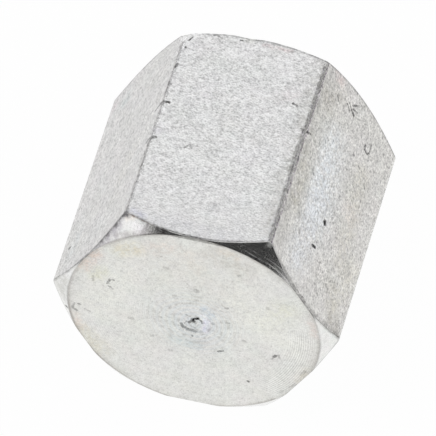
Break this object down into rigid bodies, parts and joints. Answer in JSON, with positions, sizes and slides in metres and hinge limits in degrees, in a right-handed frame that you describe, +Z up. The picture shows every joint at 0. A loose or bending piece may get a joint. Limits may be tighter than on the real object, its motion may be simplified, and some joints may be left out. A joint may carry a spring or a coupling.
{
  "type": "hex pipe cap",
  "caption": "Hexagonal pipe cap (female blanking plug) turned from hexagon bar: closed turned face, chamfered ends, threaded socket in the other end, zinc-plated steel.",
  "frame": {"origin": "on the resting flat of the hexagon, under the middle of the cap", "axes": "+Y along the cap's axis towards the mouth of its socket, -Y towards the closed face, +Z up from the resting flat, +X across the corners"},
  "size_m": [0.0218, 0.02, 0.019],
  "materials": {
    "zinc_plated_steel": "satin"
  },
  "bodies": {
    "root": {"hex_cap": "zinc_plated_steel"}
  },
  "joints": []
}
